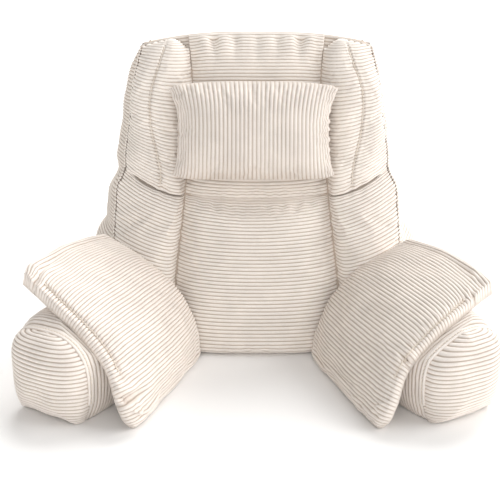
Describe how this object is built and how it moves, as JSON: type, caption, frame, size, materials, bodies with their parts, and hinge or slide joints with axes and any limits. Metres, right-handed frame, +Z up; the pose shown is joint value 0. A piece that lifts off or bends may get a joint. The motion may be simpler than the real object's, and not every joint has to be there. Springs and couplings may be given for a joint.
{
  "type": "reading pillow",
  "caption": "Corduroy reading pillow: a leaning wedge backrest with sewn filled panels, a small head pillow in front and padded arm rolls at both sides.",
  "frame": {"origin": "on the surface it stands on, under the middle of its bounding box", "axes": "+X across to the right arm as seen from the front, +Y from the arms' caps towards the back, +Z up"},
  "size_m": [0.8696, 0.7107, 0.612],
  "materials": {
    "back_corduroy": "wide-wale corduroy, soft pile",
    "panel_corduroy": "wide-wale corduroy, soft pile",
    "pillow_corduroy": "wide-wale corduroy, soft pile",
    "arm_corduroy": "wide-wale corduroy, soft pile"
  },
  "bodies": {
    "root": {"back_body": "back_corduroy", "lumbar_panel": "panel_corduroy", "upper_centre_panel": "panel_corduroy", "wing_left": "panel_corduroy", "wing_right": "panel_corduroy", "head_pillow": "pillow_corduroy", "bolster_left": "arm_corduroy", "bolster_right": "arm_corduroy", "end_cap_left": "arm_corduroy", "end_cap_right": "arm_corduroy", "arm_pad_left": "arm_corduroy", "arm_pad_right": "arm_corduroy"}
  },
  "joints": []
}
